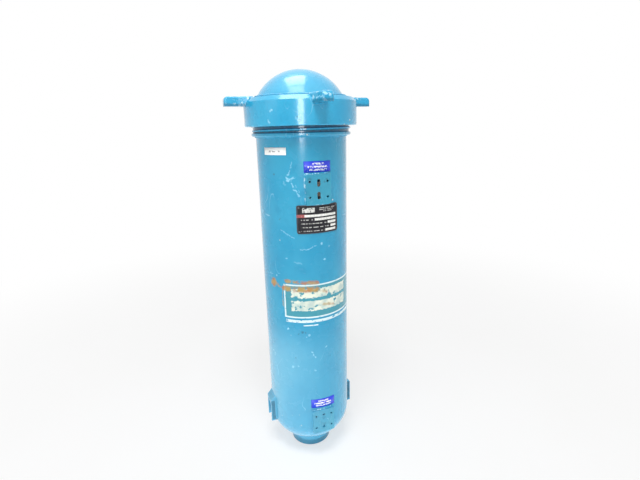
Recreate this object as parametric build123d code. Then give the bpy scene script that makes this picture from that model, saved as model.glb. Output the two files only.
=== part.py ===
from build123d import *
import math
import os

# Bag filter housing: a steel pressure vessel with a screw-on domed cap that
# holds a perforated basket and a felt filter bag.  Millimetres, +Z up, origin
# at the centre of the outlet coupling's bottom face, -Y is the front.

# --- Vessel -----------------------------------------------------------------
SHELL_OD = 168.3          # 6 inch steel pipe
SHELL_WALL = 7.1
SHELL_TOP = 663.6         # top of the pipe, where the collar is welded on
HEAD_DEPTH = 66.0         # outside depth of the ellipsoidal bottom head

COUPLING_OD = 85.7        # 2 1/2 inch half coupling
COUPLING_BORE = 68.5
COUPLING_CHAMFER = 1.5
OUTLET_STANDS_OUT = 27.2  # outlet coupling below the head
OUTLET_REACH = 4.0        # outlet coupling past the head's inner face
INLET_BELOW_TOP = 45.6    # inlet's axis below the top of the pipe
INLET_STANDS_OUT = 26.0
INLET_HOLE_MARGIN = 1.5   # hole in the shell outside the inlet coupling's bore
HOLE_TAPER = 0.02         # rise in radius of a cut hole for each length outwards

# --- Screwed neck -----------------------------------------------------------
COLLAR_STANDS_OUT = 7.65  # land below the thread, and the thread's crest
COLLAR_LAND = 5.0
COLLAR_CHAMFER = 1.5
THREAD_DEPTH = 3.2
THREAD_PITCH = 8.0        # rise of the cap in one turn
THREAD_TURNS = 5.36

# --- Cap --------------------------------------------------------------------
RING_WALL = 10.6
RING_HEIGHT = 40.6        # straight wall of the ring
RING_BORE_CLEARANCE = 0.5 # ring bore outside the thread's crest
RING_SHOWS_COLLAR = 17.0  # collar left in view below the closed cap
RING_CHAMFER = 7.0
RING_LIP_ROUND = 1.2
SHOULDER_RISE = 2.3       # from the chamfer up to the dome
CAP_FACE_GAP = 1.0        # web above the collar when the cap is closed
WEB_THICKNESS = 8.5
DOME_RISE = 55.6          # top of the dome above the web
DOME_WALL = 6.0
DOME_LEDGE = 6.05         # dome's foot outside the neck's bore

LUG_REACH = 138.3         # axis to a lug's outer end
LUG_WIDTH = 19.0
LUG_HEIGHT = 16.2
LUG_ROOT_WIDTH = 30.0
LUG_ROOT_LENGTH = 12.0
LUG_ROOT_INSET = 8.0
LUG_END_ROUND = 7.0
LUG_EDGE_ROUND = 3.5
LUG_ABOVE_SHOULDER = 0.6

# --- Seals and seats --------------------------------------------------------
SEAL_SECTION = 5.0        # cap O-ring
SEAL_SIDE_CLEARANCE = 0.3
RUNNING_GAP = 0.3         # between pieces that move against each other
FITTED_GAP = 0.1          # round pieces set in one another and welded

SEAT_BELOW_TOP = 90.6     # seat's face below the top of the pipe
SEAT_LEDGE = 6.05         # seat's width inside the shell
SEAT_HEIGHT = 8.0
SEAT_BEVEL = 4.0

# --- Basket, bail and bag ---------------------------------------------------
BASKET_CLEARANCE = 1.0    # basket inside the seat
BASKET_WALL = 1.5
BASKET_FLOOR = 2.5
BASKET_FLOOR_DROP = 18.0  # basket's underside below the head's tangent line
RIM_CLEARANCE = 0.85      # rim inside the shell
RIM_THICKNESS = 3.0
GASKET_THICKNESS = 2.0
HOLE_DIAMETER = 20.0
HOLES_AROUND = 10
HOLE_ROWS = 9
HOLE_MARGIN = 34.0        # plain band at each end of the basket wall
FLOOR_HOLE_DIAMETER = 18.0
FLOOR_HOLES_AROUND = 6
FLOOR_HOLE_MARGIN = 28.4  # hole circle inside the basket's wall

BAIL_WIRE = 3.2
BAIL_CLEARANCE = 0.6      # raised bail inside the neck
EAR_THICKNESS = 1.6
EAR_WIDTH = 9.0
EAR_MARGIN = 2.4          # metal over the bail's hole
EAR_FOOT = 1.2            # metal under the bail's hole
EAR_HOLE_CLEARANCE = 0.15

BAG_CLEARANCE = 0.9       # bag inside the basket
BAG_WALL = 2.5
BAG_CORNER = 22.0
BAG_RING_WIDTH = 5.4
BAG_RING_HEIGHT = 4.0
BAG_RING_CLEARANCE = 0.55 # bag's ring inside the bail's ears

# --- Pads, nameplate and leg sockets ----------------------------------------
PAD_WIDTH = 46.0
PAD_HEIGHT = 53.0
PAD_STANDS_OUT = 3.5      # flat face in front of the shell
PAD_CORNER = 2.0
UPPER_PAD_ABOVE_SEAT = 1.1
LOWER_PAD_ABOVE_HEAD = 13.0
PAD_SCREW_DIAMETER = 4.2
PAD_SCREW_SPACING_X = 33.0
PAD_SCREW_SPACING_Z = 27.2
PAD_SCREW_DEPTH = 8.5     # tapped through the pad and into the shell
PORT_DIAMETER = 5.0
PORT_SPACING = 29.0
PORT_HOLE_MARGIN = 0.5    # hole in the shell outside a port
SLOT_WIDTH = 6.0
SLOT_LENGTH = 13.0
SLOT_DEPTH = 1.2

PLATE_WIDTH = 77.6
PLATE_HEIGHT = 51.5
PLATE_THICKNESS = 0.8
PLATE_CORNER = 4.0
PLATE_BELOW_PAD = 0.85    # plate's top edge below the upper pad
RIVET_DIAMETER = 3.6
RIVET_HEAD = 1.1
RIVET_INSET = 4.0

SOCKET_WIDTH = 30.0
SOCKET_BELOW_HEAD = 15.0  # socket's mouth below the head's tangent line
SOCKET_HEIGHT = 58.0
SOCKET_DEPTH = 8.4        # out from the shell
SOCKET_SHEET = 3.0
SOCKET_ROOF = 10.0        # height of the sloped top

# --- Sizes that follow from the ones above ----------------------------------
shell_r = SHELL_OD / 2
bore_r = shell_r - SHELL_WALL
coupling_r = COUPLING_OD / 2
port_r = COUPLING_BORE / 2
inner_depth = HEAD_DEPTH - SHELL_WALL
head_line = OUTLET_STANDS_OUT + HEAD_DEPTH * math.sqrt(1 - (coupling_r / shell_r) ** 2)
outlet_top = head_line + OUTLET_REACH - inner_depth * math.sqrt(1 - (coupling_r / bore_r) ** 2)
inlet_z = SHELL_TOP - INLET_BELOW_TOP

collar_r = shell_r + COLLAR_STANDS_OUT
thread_root_r = collar_r - THREAD_DEPTH
land_top = SHELL_TOP + COLLAR_LAND
collar_top = land_top + THREAD_TURNS * THREAD_PITCH + COLLAR_CHAMFER

ring_bore_r = collar_r + RING_BORE_CLEARANCE
ring_r = ring_bore_r + RING_WALL
ring_bottom = SHELL_TOP + RING_SHOWS_COLLAR
ring_wall_top = ring_bottom + RING_HEIGHT
shoulder_z = ring_wall_top + RING_CHAMFER + SHOULDER_RISE
web_bottom = collar_top + CAP_FACE_GAP
web_top = web_bottom + WEB_THICKNESS
dome_foot_r = bore_r + DOME_LEDGE
dome_r = (dome_foot_r ** 2 + DOME_RISE ** 2) / (2 * DOME_RISE)
dome_centre = web_top + DOME_RISE - dome_r
lug_top = shoulder_z + LUG_ABOVE_SHOULDER
seal_r = (bore_r + thread_root_r) / 2
seal_z = collar_top + RUNNING_GAP + SEAL_SECTION / 2

seat_top = SHELL_TOP - SEAT_BELOW_TOP
seat_r = bore_r - SEAT_LEDGE
basket_r = seat_r - BASKET_CLEARANCE
basket_bottom = head_line - BASKET_FLOOR_DROP
rim_r = bore_r - RIM_CLEARANCE
rim_bottom = seat_top + RUNNING_GAP + GASKET_THICKNESS
rim_top = rim_bottom + RIM_THICKNESS
bail_r = bore_r - BAIL_CLEARANCE - BAIL_WIRE / 2
ear_hole_r = BAIL_WIRE / 2 + EAR_HOLE_CLEARANCE
bail_z = rim_top + EAR_FOOT + ear_hole_r
ear_outer = bail_r - BAIL_WIRE / 2 - RUNNING_GAP
ear_inner = ear_outer - EAR_THICKNESS
bag_r = basket_r - BASKET_WALL - BAG_CLEARANCE
bag_bottom = basket_bottom + BASKET_FLOOR + RUNNING_GAP
bag_ring_r = ear_inner - BAG_RING_CLEARANCE
bag_ring_bottom = rim_top + RUNNING_GAP

pad_face = shell_r + PAD_STANDS_OUT
upper_pad_z = seat_top + UPPER_PAD_ABOVE_SEAT
lower_pad_z = head_line + LOWER_PAD_ABOVE_HEAD
plate_z = upper_pad_z - PAD_HEIGHT / 2 - PLATE_BELOW_PAD - PLATE_HEIGHT / 2
socket_bottom = head_line - SOCKET_BELOW_HEAD


def write(name, *pieces):
    """Store the solids of one named piece in its own STEP file."""
    shape = pieces[0] if len(pieces) == 1 else Compound(children=list(pieces))
    shape.label = name
    export_step(shape, f"parts/{name}.step")


def turned(*points):
    """A solid turned about the vessel's axis from a closed outline of (r, z) points."""
    outline = Plane.XZ * Polyline(*points, close=True)
    return revolve(make_face(outline), Axis.Z)


def pipe(outer, inner, bottom, top):
    """An upright tube."""
    return turned((inner, bottom), (outer, bottom), (outer, top), (inner, top))


def rod_y(radius, x, z, y_start, y_end):
    """A round bar along Y, used for holes bored from the front."""
    bar = Cylinder(radius, abs(y_end - y_start), rotation=(90, 0, 0))
    return Pos(x, (y_start + y_end) / 2, z) * bar


def flare_y(radius, z, y_end):
    """A hole cut from outside towards the axis, widening to y_end; radius is at the shell's bore."""
    far = radius + (abs(y_end) - bore_r) * HOLE_TAPER
    near = radius - bore_r * HOLE_TAPER
    turn = 90 if y_end < 0 else -90
    return Pos(0, y_end / 2, z) * Rot(turn, 0, 0) * Cone(near, far, abs(y_end))


def one_solid(shape):
    """The only solid of a finished boolean."""
    solids = shape.solids()
    assert len(solids) == 1, len(solids)
    return solids[0]


def head_section(radius, depth):
    """A quarter ellipse with its centre on the head's tangent line."""
    quarter = Ellipse(radius, depth) & Pos(radius / 2, -depth / 2) * Rectangle(radius, depth)
    return Pos(0, 0, head_line) * (Plane.XZ * quarter)


def vessel_envelope():
    """The outside of pipe and head, for cutting what is welded onto them."""
    head = revolve(head_section(shell_r, HEAD_DEPTH), Axis.Z)
    body = Pos(0, 0, (head_line + SHELL_TOP) / 2) * Cylinder(shell_r, SHELL_TOP - head_line)
    return head + body


# --- Vessel -----------------------------------------------------------------
def pad_drills(height):
    """The drills for a pad's four screws, which go through it and into the vessel."""
    drills = []
    for x in (-PAD_SCREW_SPACING_X / 2, PAD_SCREW_SPACING_X / 2):
        for rise in (-PAD_SCREW_SPACING_Z / 2, PAD_SCREW_SPACING_Z / 2):
            drills.append(rod_y(PAD_SCREW_DIAMETER / 2, x, height + rise, -pad_face,
                                PAD_SCREW_DEPTH - pad_face))
    return drills


def shell_tube():
    """The pipe, bored for the inlet, for the two ports behind the upper pad and for its screws."""
    tube = pipe(shell_r, bore_r, head_line, SHELL_TOP)
    tube -= flare_y(port_r + INLET_HOLE_MARGIN, inlet_z, 2 * shell_r)
    hole_r = PORT_DIAMETER / 2 + PORT_HOLE_MARGIN
    for side in (-1, 1):
        tube -= flare_y(hole_r, upper_pad_z + side * PORT_SPACING / 2, -2 * shell_r)
    return one_solid(tube - pad_drills(upper_pad_z) - pad_drills(lower_pad_z))


def bottom_head():
    """The ellipsoidal head, open in the middle for the outlet coupling."""
    section = head_section(shell_r, HEAD_DEPTH) - head_section(bore_r, inner_depth)
    head = revolve(section, Axis.Z)
    hole = Cylinder(coupling_r + FITTED_GAP, 2 * head_line)
    return one_solid(head - hole - pad_drills(lower_pad_z))


def outlet_coupling():
    """A half coupling that passes through the head and carries the vessel."""
    c = COUPLING_CHAMFER
    return turned((port_r + c, 0), (coupling_r - c, 0), (coupling_r, c), (coupling_r, outlet_top),
                  (port_r, outlet_top), (port_r, c))


def inlet_coupling():
    """A half coupling with its root cut to the shell, at the rear above the bag."""
    length = shell_r + INLET_STANDS_OUT
    c = COUPLING_CHAMFER
    body = turned((port_r, 0), (coupling_r, 0), (coupling_r, length - c), (coupling_r - c, length),
                  (port_r + c, length), (port_r, length - c))
    body = Pos(0, 0, inlet_z) * Rot(-90, 0, 0) * body
    return one_solid(body - Pos(0, 0, inlet_z) * Cylinder(shell_r, 4 * coupling_r))


def neck_collar():
    """The heavy ring that the cap screws onto; the thread's root diameter over its height."""
    c = COLLAR_CHAMFER
    return turned((bore_r, SHELL_TOP), (collar_r - c, SHELL_TOP), (collar_r, SHELL_TOP + c),
                  (collar_r, land_top), (thread_root_r, land_top + THREAD_DEPTH / 2),
                  (thread_root_r, collar_top - c), (thread_root_r - c, collar_top),
                  (bore_r, collar_top))


def bag_seat_ring():
    """The ledge inside the shell that the basket's rim rests on."""
    outer = bore_r - FITTED_GAP
    bottom = seat_top - SEAT_HEIGHT
    return turned((outer, bottom), (outer, seat_top), (seat_r, seat_top),
                  (seat_r, bottom + SEAT_BEVEL), (seat_r + SEAT_BEVEL, bottom))


def pad(height, envelope):
    """A flat pad for a gauge or fitting: four screw holes and two slotted ports."""
    outline = RectangleRounded(PAD_WIDTH, PAD_HEIGHT, PAD_CORNER)
    block = extrude(outline, pad_face - bore_r + SHELL_WALL, dir=(0, 0, -1))
    block = Pos(0, -pad_face, height) * Rot(90, 0, 0) * block
    block -= envelope
    for side in (-1, 1):
        port_z = height + side * PORT_SPACING / 2
        slot_z = port_z - side * (SLOT_LENGTH - SLOT_WIDTH) / 2
        slot = extrude(SlotOverall(SLOT_LENGTH, SLOT_WIDTH, rotation=90), SLOT_DEPTH, dir=(0, 0, -1))
        block -= Pos(0, -pad_face, slot_z) * Rot(90, 0, 0) * slot
        block -= rod_y(PORT_DIAMETER / 2, 0, port_z, -pad_face, -bore_r)
    return one_solid(block - pad_drills(height))


def leg_socket(side, envelope):
    """A folded channel for a leg, open outwards and below, with a sloped top."""
    face = shell_r + SOCKET_DEPTH
    root = shell_r - SHELL_WALL
    top = socket_bottom + SOCKET_HEIGHT
    outline = Polyline((root, socket_bottom), (face, socket_bottom), (face, top - SOCKET_ROOF),
                       (shell_r, top), (root, top), close=True)
    block = extrude(make_face(Plane.XZ * outline), SOCKET_WIDTH / 2, both=True)
    sheet = SOCKET_SHEET
    drop = sheet * math.hypot(SOCKET_ROOF, SOCKET_DEPTH) / SOCKET_DEPTH
    channel = Polyline((shell_r + sheet, socket_bottom), (face, socket_bottom),
                       (face, top - SOCKET_ROOF - drop),
                       (shell_r + sheet, top - drop - SOCKET_ROOF * sheet / SOCKET_DEPTH), close=True)
    block -= extrude(make_face(Plane.XZ * channel), SOCKET_WIDTH / 2 - sheet, both=True)
    block -= envelope
    return one_solid(block if side > 0 else Rot(0, 0, 180) * block)


def nameplate():
    """A thin plate bent round the shell."""
    outline = RectangleRounded(PLATE_WIDTH, PLATE_HEIGHT, PLATE_CORNER)
    window = Pos(0, 0, plate_z) * Rot(90, 0, 0) * extrude(outline, 2 * shell_r)
    sleeve = pipe(shell_r + PLATE_THICKNESS, shell_r + FITTED_GAP, plate_z - PLATE_HEIGHT,
                  plate_z + PLATE_HEIGHT)
    return one_solid(sleeve & window)


def nameplate_rivets():
    """Four round heads at the plate's corners, square to the shell."""
    radius = shell_r + PLATE_THICKNESS
    swing = math.degrees(math.asin((PLATE_WIDTH / 2 - RIVET_INSET) / radius))
    head = extrude(Circle(RIVET_DIAMETER / 2), RIVET_HEAD)
    head = fillet(head.edges().group_by(Axis.Z)[-1], RIVET_HEAD * 0.6)
    head = Rot(90, 0, 0) * head
    rivets = []
    for turn in (-swing, swing):
        for rise in (-1, 1):
            height = plate_z + rise * (PLATE_HEIGHT / 2 - RIVET_INSET)
            rivets.append(Rot(0, 0, turn) * Pos(0, -radius, height) * head)
    return rivets


# --- Cap --------------------------------------------------------------------
def cap_o_ring():
    """The O-ring that seals the cap against the collar's top face."""
    return Pos(0, 0, seal_z) * Torus(seal_r, SEAL_SECTION / 2)


def cap_ring():
    """The cap's heavy ring: threaded skirt, web with the seal groove, seat for the dome."""
    top_r = ring_r - RING_CHAMFER
    dome_edge = math.sqrt(dome_r ** 2 - (shoulder_z - dome_centre) ** 2)
    lip = RING_LIP_ROUND
    ring = turned((ring_bore_r + lip, ring_bottom), (ring_r - lip, ring_bottom),
                  (ring_r, ring_bottom + lip), (ring_r, ring_wall_top),
                  (top_r, ring_wall_top + RING_CHAMFER), (dome_edge, shoulder_z),
                  (bore_r, shoulder_z), (bore_r, web_bottom), (ring_bore_r, web_bottom),
                  (ring_bore_r, ring_bottom + lip))
    dome = Pos(0, 0, dome_centre) * Sphere(dome_r + FITTED_GAP)
    above_web = Pos(0, 0, web_top + dome_r) * Box(4 * dome_r, 4 * dome_r, 2 * dome_r)
    ring -= dome & above_web
    groove_half = SEAL_SECTION / 2 + SEAL_SIDE_CLEARANCE
    ring -= pipe(seal_r + groove_half, seal_r - groove_half, web_bottom - 1,
                 seal_z + SEAL_SECTION / 2 + RUNNING_GAP)
    return one_solid(ring)


def cap_dome():
    """A spherical dome that stands on the ring's web."""
    shell = Sphere(dome_r) - Sphere(dome_r - DOME_WALL)
    shell = Pos(0, 0, dome_centre) * shell
    above_web = Pos(0, 0, web_top + dome_r) * Box(4 * dome_r, 4 * dome_r, 2 * dome_r)
    return one_solid(shell & above_web)


def lug(turn, ring_outside):
    """A wrench lug: a bar with a rounded end and top, flared where it is welded to the ring."""
    inner = ring_r - RING_CHAMFER - LUG_ROOT_INSET
    half = LUG_WIDTH / 2
    root = LUG_ROOT_WIDTH / 2
    flare_end = ring_r + LUG_ROOT_LENGTH
    outline = Polyline((inner, -root), (ring_r - RING_CHAMFER, -root), (flare_end, -half),
                       (LUG_REACH, -half), (LUG_REACH, half), (flare_end, half),
                       (ring_r - RING_CHAMFER, root), (inner, root), close=True)
    bar = extrude(make_face(outline), LUG_HEIGHT)
    end = bar.edges().filter_by(Axis.Y).group_by(Axis.X)[-1].sort_by(Axis.Z)[-1]
    bar = fillet(end, LUG_END_ROUND)
    sides = [edge for edge in bar.faces().sort_by(Axis.Z)[-1].edges()
             if edge.center().X < LUG_REACH - LUG_END_ROUND - 1 and abs(edge.center().Y) > half - 1]
    bar = fillet(sides, LUG_EDGE_ROUND)
    bar = Pos(0, 0, lug_top - LUG_HEIGHT) * bar
    return one_solid(Rot(0, 0, turn) * bar - ring_outside)


def ring_outside():
    """The cap ring filled solid, for cutting the lugs to it."""
    top_r = ring_r - RING_CHAMFER
    return turned((0, ring_bottom), (ring_r, ring_bottom), (ring_r, ring_wall_top),
                  (top_r, ring_wall_top + RING_CHAMFER), (top_r - LUG_ROOT_INSET - 1, shoulder_z),
                  (0, shoulder_z))


# --- Basket, bail and bag ---------------------------------------------------
def basket_wall():
    """The perforated sleeve, with holes in staggered rows."""
    wall = pipe(basket_r, basket_r - BASKET_WALL, basket_bottom, rim_top)
    low = basket_bottom + HOLE_MARGIN
    pitch = (seat_top - SEAT_HEIGHT - HOLE_MARGIN - low) / (HOLE_ROWS - 1)
    step = 360 / HOLES_AROUND
    drill = Pos(basket_r, 0, 0) * Cylinder(HOLE_DIAMETER / 2, 8 * BASKET_WALL, rotation=(0, 90, 0))
    drills = []
    for row in range(HOLE_ROWS):
        for place in range(HOLES_AROUND):
            turn = step * (place + 0.5 * (row % 2))
            drills.append(Pos(0, 0, low + row * pitch) * Rot(0, 0, turn) * drill)
    return one_solid(wall - drills)


def basket_rim():
    """The flange that hangs the basket on its seat."""
    return pipe(rim_r, basket_r + FITTED_GAP, rim_bottom, rim_top)


def basket_gasket():
    """A flat gasket under the rim."""
    return pipe(rim_r, seat_r, rim_bottom - GASKET_THICKNESS, rim_bottom)


def basket_floor():
    """The basket's bottom plate, with drain holes in a ring round a middle one."""
    plate = Pos(0, 0, basket_bottom + BASKET_FLOOR / 2)
    plate = plate * Cylinder(basket_r - BASKET_WALL - FITTED_GAP, BASKET_FLOOR)
    drill = Pos(0, 0, basket_bottom) * Cylinder(FLOOR_HOLE_DIAMETER / 2, 4 * BASKET_FLOOR)
    plate -= drill
    circle_r = basket_r - BASKET_WALL - FLOOR_HOLE_MARGIN
    for place in range(FLOOR_HOLES_AROUND):
        plate -= Rot(0, 0, 360 / FLOOR_HOLES_AROUND * place) * Pos(circle_r, 0, 0) * drill
    return one_solid(plate)


def bail_ears():
    """Two upright ears on the rim, drilled for the ends of the bail."""
    height = bail_z + ear_hole_r + EAR_MARGIN - rim_top
    profile = Pos(0, rim_top + height / 2) * Rectangle(EAR_WIDTH, height)
    profile = fillet(profile.vertices().group_by(Axis.Y)[-1], EAR_MARGIN)
    profile -= Pos(0, bail_z) * Circle(ear_hole_r)
    ear = one_solid(extrude(Plane.YZ.offset(ear_inner) * profile, EAR_THICKNESS))
    return [ear, Rot(0, 0, 180) * ear]


def basket_bail():
    """A half-round wire handle, folded down on the rim, with ends turned in through the ears."""
    wire = BAIL_WIRE / 2
    hoop = revolve(Plane.XZ * Pos(bail_r, 0) * Circle(wire), Axis.Z, 180)
    pin_length = bail_r - ear_inner
    for side in (-1, 1):
        pin = Cylinder(wire, pin_length, rotation=(0, 90, 0))
        hoop += Pos(side * (bail_r - pin_length / 2), 0, 0) * pin
        hoop += Pos(side * bail_r, 0, 0) * Sphere(wire)
    return one_solid(Pos(0, 0, bail_z) * hoop)


def filter_bag():
    """The felt bag: an open cup with a rounded bottom, a little clear of the basket."""
    top = bag_ring_bottom
    outer = Pos(0, 0, (bag_bottom + top) / 2) * Cylinder(bag_r, top - bag_bottom)
    outer = fillet(outer.edges().group_by(Axis.Z)[0], BAG_CORNER)
    inner_bottom = bag_bottom + BAG_WALL
    inner = Pos(0, 0, (inner_bottom + top) / 2) * Cylinder(bag_r - BAG_WALL, top - inner_bottom)
    inner = fillet(inner.edges().group_by(Axis.Z)[0], BAG_CORNER - BAG_WALL)
    return one_solid(outer - inner)


def bag_ring():
    """The stiff ring sewn into the bag's mouth, resting on the basket's rim."""
    return pipe(bag_ring_r, bag_ring_r - BAG_RING_WIDTH, bag_ring_bottom,
                bag_ring_bottom + BAG_RING_HEIGHT)


def build():
    """Model every piece and write it."""
    os.makedirs("parts", exist_ok=True)
    envelope = vessel_envelope()
    write("shell_tube", shell_tube())
    write("bottom_head", bottom_head())
    write("outlet_coupling", outlet_coupling())
    write("inlet_coupling", inlet_coupling())
    write("neck_collar", neck_collar())
    write("bag_seat_ring", bag_seat_ring())
    write("upper_pad", pad(upper_pad_z, envelope))
    write("lower_pad", pad(lower_pad_z, envelope))
    write("leg_socket_right", leg_socket(1, envelope))
    write("leg_socket_left", leg_socket(-1, envelope))
    write("nameplate", nameplate())
    write("nameplate_rivets", *nameplate_rivets())

    write("cap_o_ring", cap_o_ring())
    write("cap_ring", cap_ring())
    write("cap_dome", cap_dome())
    solid_ring = ring_outside()
    for name, turn in (("right", 0), ("rear", 90), ("left", 180), ("front", 270)):
        write(f"lug_{name}", lug(turn, solid_ring))

    write("basket_wall", basket_wall())
    write("basket_rim", basket_rim())
    write("basket_gasket", basket_gasket())
    write("basket_floor", basket_floor())
    write("bail_ears", *bail_ears())
    write("basket_bail", basket_bail())
    write("filter_bag", filter_bag())
    write("bag_ring", bag_ring())


build()
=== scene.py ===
import math

import bmesh
import bpy
from mathutils import Matrix, Quaternion, Vector


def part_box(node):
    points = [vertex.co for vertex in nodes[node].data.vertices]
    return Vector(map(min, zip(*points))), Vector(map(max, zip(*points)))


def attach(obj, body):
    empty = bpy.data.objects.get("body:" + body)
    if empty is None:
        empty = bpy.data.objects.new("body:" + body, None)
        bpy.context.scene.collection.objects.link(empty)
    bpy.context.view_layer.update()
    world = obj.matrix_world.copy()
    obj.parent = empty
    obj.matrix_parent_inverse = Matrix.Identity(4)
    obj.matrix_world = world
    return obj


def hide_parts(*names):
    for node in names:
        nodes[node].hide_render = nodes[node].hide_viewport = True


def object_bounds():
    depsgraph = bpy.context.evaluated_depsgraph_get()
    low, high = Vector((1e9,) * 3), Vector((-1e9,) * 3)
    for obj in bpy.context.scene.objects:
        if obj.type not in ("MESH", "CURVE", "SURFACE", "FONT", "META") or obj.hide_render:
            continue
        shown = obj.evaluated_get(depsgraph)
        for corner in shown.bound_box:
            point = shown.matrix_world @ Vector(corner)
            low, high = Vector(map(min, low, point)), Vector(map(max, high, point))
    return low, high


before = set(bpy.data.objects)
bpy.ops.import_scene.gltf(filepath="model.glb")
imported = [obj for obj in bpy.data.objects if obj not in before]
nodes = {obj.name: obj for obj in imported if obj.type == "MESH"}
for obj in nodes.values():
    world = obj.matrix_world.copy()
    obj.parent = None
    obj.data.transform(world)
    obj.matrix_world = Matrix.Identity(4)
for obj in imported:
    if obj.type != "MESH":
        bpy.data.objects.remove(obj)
cad_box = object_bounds()

# --- Vessel enamel ----------------------------------------------------------
# The pipe, head, couplings, collar, pads and leg sockets are welded carbon
# steel, sprayed together with gloss blue enamel. Handling has scuffed the
# pipe, and a panel of cream paint on its front has worn and let rust through.
MM = 0.001
shell_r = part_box("shell_tube")[1].x
upper_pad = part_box("upper_pad")
lower_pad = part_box("lower_pad")
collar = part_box("neck_collar")
collar_crest = collar[1].x
BEVEL_RADIUS = 1.6 * MM
# Heights where the painted floor reflection fades in on the vessel, and where the dome's painted
# glow does.
PAINTED_GLOW_STARTS, PAINTED_GLOW_IS_FULL = 335 * MM, 250 * MM
DOME_PAINTED_GLOW_STARTS, DOME_PAINTED_GLOW_IS_FULL = 722 * MM, 738 * MM
SLOT_HALF = 3.2 * MM
SLOT_BELOW_PAD_FACE = 0.5 * MM
SLOT_END_MARGIN = 8 * MM
PANEL_SIDES = (-71, 87)
PANEL_LOW, PANEL_HIGH = 330, 398
FRAME_LINE = 3
BAND_SIDES = (-56, 62)


class Wire:
    """A socket of a node tree; sums on it add Math nodes."""

    def __init__(self, shading, socket):
        self.shading, self.socket = shading, socket

    def math(self, operation, *terms):
        return self.shading.node("Math", {"operation": operation}, dict(enumerate(terms)))

    def __add__(self, other):
        return self.math("ADD", self, other)

    __radd__ = __add__

    def __sub__(self, other):
        return self.math("SUBTRACT", self, other)

    def __rsub__(self, other):
        return self.math("SUBTRACT", other, self)

    def __mul__(self, other):
        return self.math("MULTIPLY", self, other)

    __rmul__ = __mul__

    def __truediv__(self, other):
        return self.math("DIVIDE", self, other)

    def __gt__(self, other):
        return self.math("GREATER_THAN", self, other)

    def __lt__(self, other):
        return self.math("LESS_THAN", self, other)

    def __abs__(self):
        return self.math("ABSOLUTE", self)

    def __or__(self, other):
        return self.math("MAXIMUM", self, other)


class Shading:
    """A node tree, built up node by node."""

    def __init__(self, tree):
        self.tree = tree

    def node(self, kind, settings, sockets, output=0):
        made = self.tree.nodes.new("ShaderNode" + kind)
        for setting, value in settings.items():
            if setting == "stops":
                ramp = made.color_ramp
                while len(ramp.elements) < len(value):
                    ramp.elements.new(0.5)
                for element, (position, colour) in zip(ramp.elements, value):
                    element.position, element.color = position, colour
            elif setting == "interpolation":
                made.color_ramp.interpolation = value
            else:
                setattr(made, setting, value)
        for socket, value in sockets.items():
            self.feed(made.inputs[socket], value)
        return Wire(self, made.outputs[output])

    def feed(self, socket, value):
        if isinstance(value, Wire):
            self.tree.links.new(value.socket, socket)
        else:
            socket.default_value = value

    def seen(self):
        """1 for the rays that show a surface, 0 for those that only light others."""
        rays = self.node("LightPath", {}, {}).socket.node.outputs
        return (Wire(self, rays["Is Camera Ray"]) | Wire(self, rays["Is Glossy Ray"])
                | Wire(self, rays["Is Transmission Ray"]))


class Finish(Shading):
    """One procedural material."""

    def __init__(self, name, **constants):
        self.material = bpy.data.materials.new(name)
        self.material.use_nodes = True
        super().__init__(self.material.node_tree)
        self.shader = self.tree.nodes["Principled BSDF"]
        for socket, value in constants.items():
            self.shader.inputs[socket.replace("_", " ")].default_value = value
        self.place = self.node("TexCoord", {}, {}, "Object")

    def paint(self, **sockets):
        for socket, value in sockets.items():
            self.feed(self.shader.inputs[socket.replace("_", " ")], value)

    def noise(self, scale, detail=2.0, vector=None, distortion=0.0):
        return self.node("TexNoise", {}, {"Vector": vector or self.place, "Scale": scale,
                                          "Detail": detail, "Distortion": distortion})

    def fade(self, value, low, high, start=0.0, end=1.0):
        return self.node("MapRange", {"interpolation_type": "SMOOTHSTEP"},
                         {"Value": value, "From Min": low, "From Max": high,
                          "To Min": start, "To Max": end})

    def blend(self, factor, first, second):
        return self.node("Mix", {"data_type": "RGBA"}, {0: factor, 6: first, 7: second}, 2)

    def bump(self, height, distance, strength=1.0):
        return self.node("Bump", {}, {"Height": height, "Distance": distance,
                                      "Strength": strength})

    def axes(self, vector=None):
        split = self.node("SeparateXYZ", {}, {0: vector or self.place})
        outputs = split.socket.node.outputs
        return [Wire(self, outputs[axis]) for axis in range(3)]

    def edges(self, radius):
        """1 on sharp edges, where paint wears off first."""
        rounded = self.node("Bevel", {"samples": 6}, {"Radius": radius})
        flat = self.node("NewGeometry", {}, {}, "Normal")
        likeness = self.node("VectorMath", {"operation": "DOT_PRODUCT"},
                             {0: rounded, 1: flat}, "Value")
        return self.fade(likeness, 0.97, 0.8)

    def unrolled(self, radius):
        """Distance round a cylinder from its front line, and height, in mm, as a vector."""
        x, y, z = self.axes()
        turn = self.node("Math", {"operation": "ARCTAN2"}, {0: x, 1: 0 - y})
        return self.node("CombineXYZ", {}, {0: turn * (radius / MM), 1: z * (1 / MM)})


def tint(red, green, blue):
    """A colour from 8-bit display values."""
    def linear(value):
        value /= 255
        return value / 12.92 if value <= 0.04045 else ((value + 0.055) / 1.055) ** 2.4
    return (linear(red), linear(green), linear(blue), 1)


VESSEL_BLUES = (tint(22, 147, 188), tint(44, 156, 193), tint(14, 130, 172))
PAD_BLUES = (tint(30, 142, 176), tint(52, 152, 180), tint(20, 124, 158))
CAP_BLUES = (tint(24, 156, 200), tint(48, 166, 206), tint(16, 140, 184))
# Pale colour of scuffs and worn edges, also used for the painted floor reflection and the dome's
# painted glow.
PALE_SCUFF_AND_GLOW = tint(160, 216, 240)
PRIMER = tint(196, 214, 220)
# Pale fleck colour: worn chalky paint and painted glints.
CHALK_AND_GLINT = tint(196, 232, 244)
CHIP = tint(46, 70, 84)
RUST = tint(176, 146, 80)


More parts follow.
